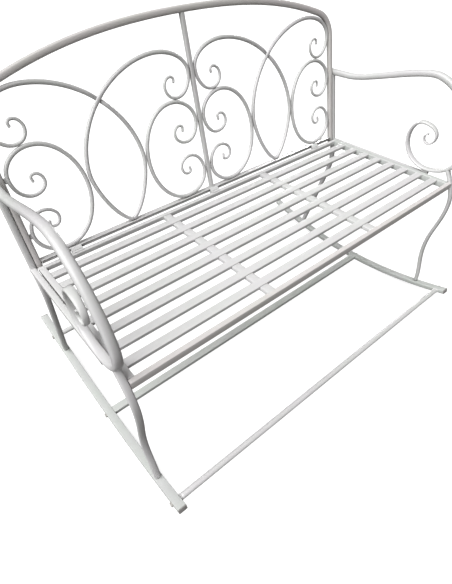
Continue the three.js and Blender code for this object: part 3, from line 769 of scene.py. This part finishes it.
# A short welded neck between two bars that lie side by side
def welded_neck(width, depth, height, place):
    put_down()
    bpy.ops.mesh.primitive_cube_add(size=1, location=[v * MM for v in place],
                                    scale=(width * MM, depth * MM, height * MM))
    neck = bpy.context.object
    settle(neck)
    bpy.ops.object.mode_set(mode="EDIT")
    bpy.ops.mesh.select_all(action="SELECT")
    bpy.ops.mesh.subdivide(number_cuts=2, smoothness=0)
    bpy.ops.object.mode_set(mode="OBJECT")
    return subdivided(neck)


# Half a scroll, from its middle to one curled end, in quarter turns; side is 1 for the upper half
def scroll_curves(side):
    outline = ((SCROLL_WIDTH, 0), (SCROLL_CROWN_INSET, SCROLL_HALF_HEIGHT),
               (0, SCROLL_SIDE_HEIGHT), *SCROLL_CURL)
    spots = [(BAY_REACH - inset, SCROLL_MIDDLE + side * height) for inset, height in outline]
    return [quarter(spots[i], spots[i + 1], i % 2 == 0,
                    share=CURL_END_SHARE if i == CURL_TURNS - 1 else 1)
            for i in range(CURL_TURNS)]


# A loop, from its foot on the back rail, past the far scroll and over to its hanging curl
def loop_curves():
    foot = (-WELD_GAP, BACK_RAIL_TOP + WELD_GAP + ROD_RADIUS)
    bulge = (SCROLL_WIDTH + ROD_DIAMETER + WELD_GAP - BAY_REACH, LOOP_BULGE_HEIGHT)
    outline = (LOOP_CROWN, (LOOP_POST_GAP + ROD_RADIUS, LOOP_SIDE_HEIGHT), *LOOP_CURL)
    spots = [bulge] + [(BAY_HALF - inset, height) for inset, height in outline]
    return [quarter(foot, bulge, False, LOOP_FOOT_FULLNESS)] + [
        quarter(spots[i], spots[i + 1], i % 2 == 0, LOOP_SIDE_FULLNESS if i == 0 else 2,
                CURL_END_SHARE if i == CURL_TURNS - 1 else 1)
        for i in range(CURL_TURNS)]


def scroll_bar():
    upper = [backwards(curve) for curve in reversed(scroll_curves(1))]
    marks = bending_marks(upper + scroll_curves(-1), longest=12)
    gauge = graded([(0, ROD_TIP_SHARE, ROD_TIP_SHARE), (SCROLL_TAPER_SHARE, 1, 1),
                    (1 - SCROLL_TAPER_SHARE, 1, 1), (1, ROD_TIP_SHARE, ROD_TIP_SHARE)])
    bar = draw_bar(marks, ROD_DIAMETER, ROD_DIAMETER, gauge, sides=8)
    reach = PAD_GAP + ROD_RADIUS
    necks = [
        welded_neck(reach, PAD_DEPTH, PAD_LENGTH,
                    (BAY_REACH + reach / 2, 0, SCROLL_MIDDLE + side * SCROLL_SIDE_HEIGHT))
        for side in (1, -1)]
    reach = SCROLL_FOOT_GAP + ROD_RADIUS
    necks.append(welded_neck(PAD_LENGTH, PAD_DEPTH, reach,
                             (BAY_REACH - SCROLL_CROWN_INSET, 0, BACK_RAIL_TOP + reach / 2)))
    return joined(bar, *necks)


# The two loops of a bay cross at its middle, where each is thinned and one passes in front
def loop_bar():
    marks = bending_marks(loop_curves(), longest=9)
    gauge = graded([(0, 1, 1), (1 - LOOP_TAPER_SHARE, 1, 1), (1, ROD_TIP_SHARE, ROD_TIP_SHARE)])
    crossing = min(marks, key=lambda m: abs(m[0]) + (m[1] < LOOP_CROSSING_FLOOR) * BAY_HALF)
    run = sum(run_of(curve) for curve in loop_curves())

    def lap(share):
        return max(0, min(1, 2 - abs(share - crossing[3]) * run / LAP_REACH))

    def lapped_gauge(share):
        across, through = gauge(share)
        return across * (1 - LAP_THINNING_SHARE * lap(share)), through

    def lapped_sway(share):
        return -ROD_RADIUS * LAP_THINNING_SHARE * lap(share)

    return draw_bar(marks, ROD_DIAMETER, ROD_DIAMETER, lapped_gauge, lapped_sway, sides=8)


def add_bay_pieces(name, piece):
    turned = Matrix.Rotation(math.pi, 4, "Z")
    bays = (
        ("outer_right", Matrix.Identity(4), BAY_MIDDLE), ("inner_right", turned, BAY_MIDDLE),
        ("inner_left", Matrix.Identity(4), -BAY_MIDDLE), ("outer_left", turned, -BAY_MIDDLE),
    )
    for label, turn, middle in bays:
        copy = placed(copied(piece), PANEL @ Matrix.Translation((middle * MM, 0, 0)) @ turn)
        finish_piece(copy, f"back_{name}_rod_{label}", f"back_{name}_{label}")
    bpy.data.objects.remove(piece)


# A thin plate over each spacer, stepped up from the seat onto the back rail
def spacer_plate(length):
    low = WELD_GAP + SPACER_PLATE / 2
    plate = straight_bar(SPACER_WIDTH, length + 2 * SPACER_LAP, SPACER_PLATE,
                         SPACER_PLATE_CORNER, (0, 0, low))
    bpy.ops.object.mode_set(mode="EDIT")
    for step in SPACER_STEP_SHARES:
        bpy.ops.mesh.select_all(action="SELECT")
        bpy.ops.mesh.bisect(plane_co=(0, step * length * MM, 0), plane_no=(0, 1, 0))
    bpy.ops.mesh.select_all(action="DESELECT")
    bpy.ops.object.mode_set(mode="OBJECT")
    for corner in plate.data.vertices:
        corner.select = corner.co.y > SPACER_RAISED_SHARE * length * MM
    bpy.ops.object.mode_set(mode="EDIT")
    bpy.ops.mesh.select_mode(type="VERT")
    bpy.ops.transform.translate(value=(0, 0, BACK_RAIL_TOP * MM))
    bpy.ops.object.mode_set(mode="OBJECT")
    return plate


def add_spacers():
    length = BACK_PLANE - SEAT_DEPTH - BACK_RAIL_DEPTH / 2
    tab = joined(straight_bar(SPACER_WIDTH, length, SPACER_HEIGHT, SPACER_CORNER, (0, 0, 0)),
                 spacer_plate(length))
    for label, place in (("centre", 0), ("right", SPACER_PLACE), ("left", -SPACER_PLACE)):
        copy = placed(copied(tab), REST @ Matrix.Translation(
            (place * MM, (SEAT_DEPTH + length / 2) * MM, 0)))
        finish_piece(copy, f"back_spacer_tab_{label}", f"back_spacer_{label}")
    bpy.data.objects.remove(tab)


# Side frames
def both_sides(piece, name, node, place, finish=None):
    for label, way in SIDES:
        flip = Matrix.Diagonal((way, 1, 1, 1))
        copy = placed(copied(piece), REST @ flip @ Matrix.Translation((place * MM, 0, 0)) @ SIDEWAYS)
        finish_piece(copy, f"{name}_{label}", f"{node}_{label}", finish=finish)
    bpy.data.objects.remove(piece)


def post_setback(height):
    return BACK_PLANE + height * math.tan(BACK_LEAN)


def rocker_line(setback):
    return ROCKER_CENTRE[1] - math.sqrt(ROCKER_RADIUS ** 2 - (setback - ROCKER_CENTRE[0]) ** 2)


def arm_curves():
    rear = (post_setback(ARM_DIP_HEIGHT) + ARM_REAR_REACH, ARM_DIP_HEIGHT)
    dip = (rear[0] - ARM_DIP_RUN, ARM_DIP_HEIGHT)
    handle = (dip[0] - ARM_CROWN[0]) * ARM_HANDLE_SHARE
    rise = swept(dip, (dip[0] - handle, dip[1]), (ARM_CROWN[0] + handle, ARM_CROWN[1]), ARM_CROWN)
    spots = [ARM_CROWN, ARM_NOSE, ARM_HEEL, *ARM_SCROLL]
    turns = [quarter(spots[i], spots[i + 1], i % 2 == 1, ARM_NOSE_FULLNESS if i == 0 else 2,
                     ARM_END_SHARE if i == ARM_TURNS - 1 else 1) for i in range(ARM_TURNS)]
    return [straight(rear, dip), rise] + turns


# The armrest is a full tube as far as its nose, and then flattened and narrowed to its tip
def add_arms():
    curves = arm_curves()
    marks = bending_marks(curves, longest=14, sharpest=math.radians(8))
    runs = [run_of(curve) for curve in curves]
    nose, heel, roll, curl = (sum(runs[:count]) / sum(runs) for count in (3, 4, 6, 7))
    gauge = graded([(0, 1, 1), (nose, 1, 1), (heel, 1, ARM_HEEL_SHARE), (roll, *ARM_ROLL_SHARES),
                    (curl, *ARM_CURL_SHARES), (1, *ARM_TIP_SHARES)])

    # The strap narrows from its inner edge
    def inner_edge(share):
        return -(1 - gauge(share)[0]) * ARM_WIDTH / 2

    arm = draw_bar(marks, ARM_WIDTH, ARM_THICKNESS, gauge, inner_edge, corner=ARM_CORNER_SHARE)
    both_sides(arm, "armrest_tube", "armrest", ARM_PLACE)


# A small block carries the heel of each scroll on the side rail
def add_heel_blocks():
    top = ARM_HEEL[1] - ARM_THICKNESS * ARM_HEEL_SHARE / 2 + HEEL_BLOCK_SINK
    block = straight_bar(HEEL_BLOCK_LENGTH, HEEL_BLOCK_WIDTH, top + SIDE_RAIL_DROP,
                         HEEL_BLOCK_CORNER, (ARM_HEEL[0], 0, (top - SIDE_RAIL_DROP) / 2))
    both_sides(block, "armrest_heel_weld_block", "armrest_heel_block", ARM_PLACE)


# Below the seat a leg leans inwards, in step with its height, to stand on the rocker's middle
def inward_lean(marks, place):
    heights = {round(share, 9): up for along, up, heading, share in marks}

    def lean(share):
        return (place - ROCKER_PLACE) * min(1, max(0, -heights[round(share, 9)] / SEAT_HEIGHT))
    return lean


def add_front_legs():
    foot = (LEG_FOOT_SETBACK,
            rocker_line(LEG_FOOT_SETBACK) + ROCKER_THICKNESS / 2 - LEG_SINK)
    curves = [
        swept(LEG_TOP, (LEG_TOP[0] - LEG_TOP_HANDLE * math.cos(LEG_TOP_SLOPE),
                        LEG_TOP[1] - LEG_TOP_HANDLE * math.sin(LEG_TOP_SLOPE)),
              (LEG_KNEE[0], LEG_KNEE[1] + LEG_KNEE_HANDLES[0]), LEG_KNEE),
        swept(LEG_KNEE, (LEG_KNEE[0], LEG_KNEE[1] - LEG_KNEE_HANDLES[1]),
              (LEG_CALF[0], LEG_CALF[1] + LEG_CALF_HANDLES[0]), LEG_CALF),
        swept(LEG_CALF, (LEG_CALF[0], LEG_CALF[1] - LEG_CALF_HANDLES[1]),
              (foot[0], foot[1] + LEG_FOOT_HANDLE), foot),
    ]
    marks = bending_marks(curves, longest=14)
    place = FRAME_INNER + LEG_WIDTH / 2
    leg = draw_bar(marks, LEG_WIDTH, LEG_THICKNESS, None, inward_lean(marks, place),
                   corner=LEG_CORNER_SHARE)
    both_sides(leg, "front_leg_bar", "front_leg", place)


# Each rear leg is one tube with the outer post, bent back below the seat
def add_rear_legs():
    top_height = ARM_DIP_HEIGHT - REAR_LEG_TOP_DROP
    top = (post_setback(top_height), top_height)
    bend_top = (post_setback(REAR_LEG_BEND_HEIGHT), REAR_LEG_BEND_HEIGHT)
    corner = (post_setback(REAR_LEG_CORNER_HEIGHT), REAR_LEG_CORNER_HEIGHT)
    setback = BACK_PLANE + REAR_LEG_SPREAD
    on_rocker = (setback, rocker_line(setback))
    foot = (setback, on_rocker[1] + ROCKER_THICKNESS / 2 - LEG_SINK)
    bend_share = REAR_LEG_BEND_RUN / math.dist(corner, on_rocker)
    bend_foot = straight(corner, on_rocker)(bend_share)
    lift, land = (straight(end, corner)(REAR_LEG_BEND_SHARE) for end in (bend_top, bend_foot))
    curves = [straight(top, bend_top), swept(bend_top, lift, land, bend_foot),
              straight(bend_foot, foot)]
    marks = bending_marks(curves, longest=24, sharpest=math.radians(5))
    place = FRAME_INNER + POST_RADIUS
    leg = draw_bar(marks, POST_DIAMETER, POST_DIAMETER, None, inward_lean(marks, place),
                   corner=POST_CORNER_SHARE)
    both_sides(leg, "rear_leg_tube", "rear_leg_post", place)


# A side rail lies a little way out from the seat panel, which leaves a dark crevice, and runs on
# behind the post
def add_side_rails():
    for label, way in SIDES:
        low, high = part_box(f"side_rail_{label}")
        length = (high.y - low.y) / MM - SIDE_RAIL_SET_IN + POST_DIAMETER
        rail = straight_bar(length, SIDE_RAIL_WIDTH, SIDE_RAIL_HEIGHT, SIDE_RAIL_CORNER,
                            (0, 0, SIDE_RAIL_LIFT), segments=4)
        middle = (low + high) / 2
        middle.x = way * (FRAME_INNER + SIDE_RAIL_GAP + SIDE_RAIL_WIDTH / 2) * MM
        middle.y += (SIDE_RAIL_SET_IN + POST_DIAMETER) / 2 * MM
        finish_piece(placed(rail, Matrix.Translation(middle) @ Matrix.Rotation(REST_ROLL, 4, "X")
                            @ SIDEWAYS), f"side_rail_tube_{label}", f"side_rail_{label}")


# Rockers: a flat-sided tube with rounded corners, drawn along the arc
def rocker_section():
    put_down()
    bpy.ops.mesh.primitive_plane_add(size=1)
    section = bpy.context.object
    section.scale = (ROCKER_THICKNESS * MM, ROCKER_WIDTH * MM, 1)
    settle(section)
    bpy.ops.object.mode_set(mode="EDIT")
    bpy.ops.mesh.select_all(action="SELECT")
    bpy.ops.mesh.bevel(offset=ROCKER_CORNER * MM, segments=3, affect="VERTICES")
    bpy.ops.object.mode_set(mode="OBJECT")
    return section


# Where the rocker's arc passes at an angle from its lowest point: along, up and heading
def rocker_mark(angle):
    return (ROCKER_CENTRE[0] + ROCKER_RADIUS * math.sin(angle),
            ROCKER_CENTRE[1] - ROCKER_RADIUS * math.cos(angle), math.pi / 2 - angle)


def add_rockers():
    marks = [rocker_mark(ROCKER_REACH * (2 * i / ROCKER_FACETS - 1))
             for i in range(ROCKER_FACETS + 1)]
    along, up, heading = marks[0]
    bar = rocker_section()
    bar.location = (along * MM, 0, up * MM)
    bar.rotation_euler = (0, heading, 0)
    settle(bar)
    bpy.ops.object.mode_set(mode="EDIT")
    bpy.ops.mesh.select_mode(type="FACE")
    bpy.ops.mesh.select_all(action="SELECT")
    for next_along, next_up, next_heading in marks[1:]:
        bpy.ops.mesh.extrude_region_move(TRANSFORM_OT_translate={
            "value": ((next_along - along) * MM, 0, (next_up - up) * MM)})
        bpy.ops.transform.rotate(value=heading - next_heading, orient_axis="Y",
                                 center_override=(next_along * MM, 0, next_up * MM))
        along, up, heading = next_along, next_up, next_heading
    faces_outward(bar)
    take_up(bar)
    bpy.ops.object.shade_smooth_by_angle(angle=math.radians(35))
    both_sides(bar, "rocker_tube", "rocker", ROCKER_PLACE, "lower_shaded_paint")


def add_end_plugs():
    for label, way in (("front", -1), ("rear", 1)):
        along, up, heading = rocker_mark(way * ROCKER_REACH)
        plug = rocker_section()
        bpy.ops.object.mode_set(mode="EDIT")
        bpy.ops.mesh.select_mode(type="FACE")
        bpy.ops.mesh.select_all(action="SELECT")
        bpy.ops.mesh.extrude_region_move(
            TRANSFORM_OT_translate={"value": (0, 0, way * PLUG_THICKNESS * MM)})
        bpy.ops.mesh.inset(thickness=PLUG_RIM * MM)
        bpy.ops.transform.translate(value=(0, 0, way * PLUG_DOME * MM))
        faces_outward(plug)
        rounded_edges(plug, PLUG_CORNER)
        plug.location = (along * MM, 0, up * MM)
        plug.rotation_euler = (0, heading, 0)
        settle(plug)
        both_sides(plug, f"rocker_end_plug_{label}", f"rocker_cap_{label}", ROCKER_PLACE,
                   "end_plug")


def add_stretchers():
    inner = ROCKER_PLACE - ROCKER_WIDTH / 2
    setback = STRETCHER_PLACES["middle"]
    bar = straight_bar(2 * inner, STRETCHER_WIDTH, STRETCHER_HEIGHT, STRETCHER_CORNER,
                       (0, setback, rocker_line(setback)))
    finish_piece(placed(bar, REST), "stretcher_middle_bar", "stretcher_middle",
                 finish="lower_shaded_paint")
    marks = bending_marks([straight((0, -inner), (0, inner))], longest=60)
    for name in ("front", "rear"):
        place = (0, STRETCHER_PLACES[name] * MM, rocker_line(STRETCHER_PLACES[name]) * MM)
        middle = REST @ Matrix.Translation(place)
        rod = draw_bar(marks, ROD_STRETCHER_DIAMETER, ROD_STRETCHER_DIAMETER)
        lie_across = Matrix.Rotation(math.pi / 2, 4, "Y")
        finish_piece(placed(rod, middle @ lie_across), f"stretcher_{name}_tube",
                     f"stretcher_{name}")
        for label, way in SIDES:
            end = Matrix.Translation((way * (inner - COLLAR_LENGTH / 2) * MM, 0, 0))
            face_inwards = Matrix.Rotation(-way * math.pi / 2, 4, "Y")
            finish_piece(placed(weld_collar(), middle @ end @ face_inwards),
                         f"stretcher_weld_collar_{name}_{label}",
                         f"stretcher_collar_{name}_{label}")


# A low cone where a round stretcher meets a rocker
def weld_collar():
    put_down()
    bpy.ops.mesh.primitive_cone_add(
        vertices=40, radius1=COLLAR_DIAMETER / 2 * MM, radius2=ROD_STRETCHER_DIAMETER / 2 * MM,
        depth=COLLAR_LENGTH * MM)
    bpy.ops.object.shade_smooth_by_angle(angle=math.radians(35))
    return bpy.context.object


# A bolt head with its washer, built up from a disc, facing +z
def bolt_head():
    put_down()
    bpy.ops.mesh.primitive_circle_add(vertices=32, radius=WASHER_DIAMETER / 2 * MM,
                                      fill_type="NGON")
    washer = bpy.context.object
    bpy.ops.object.mode_set(mode="EDIT")
    bpy.ops.mesh.select_all(action="SELECT")
    bpy.ops.mesh.extrude_region_move(
        TRANSFORM_OT_translate={"value": (0, 0, WASHER_HEIGHT * MM)})
    faces_outward(washer)
    rounded_edges(washer, WASHER_CORNER)
    put_down()
    bpy.ops.mesh.primitive_circle_add(
        vertices=6, radius=BOLT_HEAD_WIDTH / math.sqrt(3) * MM, fill_type="NGON",
        location=(0, 0, WASHER_HEIGHT * MM))
    head = bpy.context.object
    settle(head)
    bpy.ops.object.mode_set(mode="EDIT")
    bpy.ops.mesh.select_mode(type="FACE")
    bpy.ops.mesh.select_all(action="SELECT")
    for rise in (BOLT_HEAD_HEIGHT - BOLT_CHAMFER_HEIGHT, BOLT_CHAMFER_HEIGHT):
        bpy.ops.mesh.extrude_region_move(TRANSFORM_OT_translate={"value": (0, 0, rise * MM)})
    bpy.ops.transform.resize(value=(BOLT_CHAMFER_SHARE, BOLT_CHAMFER_SHARE, 1))
    bpy.ops.mesh.inset(thickness=BOLT_DISH_RIM * MM)
    bpy.ops.transform.translate(value=(0, 0, -BOLT_DISH_DEPTH * MM))
    faces_outward(head)
    rounded_edges(head, BOLT_CORNER)
    return joined(head, washer)


def add_bolts():
    head = bolt_head()
    outer = ROCKER_PLACE + ROCKER_WIDTH / 2
    for name, setback in STRETCHER_PLACES.items():
        for label, way in SIDES:
            spot = Matrix.Translation(
                (way * outer * MM, setback * MM, rocker_line(setback) * MM))
            twist = Matrix.Rotation(BOLT_TWIST * (setback % BOLT_TWIST_CYCLE), 4, "Z")
            copy = placed(copied(head), REST @ spot @ Matrix.Rotation(
                way * math.pi / 2, 4, "Y") @ twist)
            finish_piece(copy, f"rocker_bolt_head_{name}_{label}", f"rocker_bolt_{name}_{label}",
                         slot="bolt_steel")
    bpy.data.objects.remove(head)


add_seat_rails()
add_slats()
add_cross_bars()
add_back_tube()
add_back_bars()
add_bay_pieces("scroll", scroll_bar())
add_bay_pieces("loop", loop_bar())
add_spacers()
add_arms()
add_heel_blocks()
add_front_legs()
add_rear_legs()
add_side_rails()
add_rockers()
add_end_plugs()
add_stretchers()
add_bolts()


# Floor, light and camera
FLOOR_SIZE = 110
FLOOR_DROP = 0.0005
FLOOR_GREY = (0.3, 0.3, 0.3, 1)
GLOW_WHITE = (1, 1, 1, 1)
FLOOR_GLOW = 0.85
ROOM_COLOUR = (1, 0.975, 0.94, 1)
ROOM_STRENGTH = 0.15
LAMP_DISTANCE = 3
SOFTBOXES = {
    "overhead_softbox": {"away": (-0.7, -0.13, 1), "spread": math.radians(62), "strength": 4.95},
    "rear_softbox": {"away": (0.8, 0.75, 0.07), "spread": math.radians(10), "strength": 0.9},
}


def floor_paint():
    return Finish("floor_white").coat({
        "Base Color": FLOOR_GREY, "Roughness": 1,
        "Emission Color": GLOW_WHITE, "Emission Strength": FLOOR_GLOW,
    })


# The floor glows, so that it stays white with only faint shadows, and lights nothing itself
def add_floor():
    put_down()
    bpy.ops.mesh.primitive_plane_add(size=FLOOR_SIZE, location=(0, 0, -FLOOR_DROP))
    floor = bpy.context.object
    settle(floor)
    floor.name = "floor"
    floor.data.materials.append(floor_paint())
    floor.visible_diffuse = False
    floor.visible_glossy = False


def add_softbox(name, away, spread, strength):
    put_down()
    bpy.ops.object.light_add(type="SUN", location=[LAMP_DISTANCE * v for v in away])
    lamp = bpy.context.object
    lamp.name = name
    lamp.data.angle = spread
    lamp.data.energy = strength
    lamp.rotation_euler = Vector(away).to_track_quat("Z", "Y").to_euler()


def add_room_light():
    room = bpy.data.worlds.new("studio")
    room.use_nodes = True
    background = room.node_tree.nodes["Background"]
    background.inputs["Color"].default_value = ROOM_COLOUR
    background.inputs["Strength"].default_value = ROOM_STRENGTH
    bpy.context.scene.world = room


# The camera, fitted to the photograph: its place and its three directions in the part's frame,
# and its focal length and the point it looks at in pixels of the photograph
CAMERA_PLACE = (-0.75648, -0.81911, 1.13906)
CAMERA_RIGHT = (0.77576, -0.62986, -0.03848)
CAMERA_DOWN = (-0.45709, -0.51883, -0.72242)
CAMERA_AHEAD = (0.43506, 0.57801, -0.69038)
IMAGE_WIDTH = 452
IMAGE_HEIGHT = 584
FOCAL_PIXELS = 409.911
VIEW_CENTRE = (216.9, 303.5)
SENSOR = 36


def add_camera():
    data = bpy.data.cameras.new("camera")
    camera = bpy.data.objects.new("camera", data)
    bpy.context.scene.collection.objects.link(camera)
    rows = [(r, -d, -a, p) for r, d, a, p in
            zip(CAMERA_RIGHT, CAMERA_DOWN, CAMERA_AHEAD, CAMERA_PLACE)]
    camera.matrix_world = Matrix([*rows, (0, 0, 0, 1)])
    data.sensor_width = SENSOR
    data.lens = FOCAL_PIXELS * SENSOR / IMAGE_HEIGHT
    data.shift_x = (IMAGE_WIDTH / 2 - VIEW_CENTRE[0]) / IMAGE_HEIGHT
    data.shift_y = (VIEW_CENTRE[1] - IMAGE_HEIGHT / 2) / IMAGE_HEIGHT
    data.clip_start = 0.01
    bpy.context.scene.camera = camera


add_floor()
for name, settings in SOFTBOXES.items():
    add_softbox(name, **settings)
add_room_light()
add_camera()
bpy.context.scene.view_settings.view_transform = "Standard"
put_down()
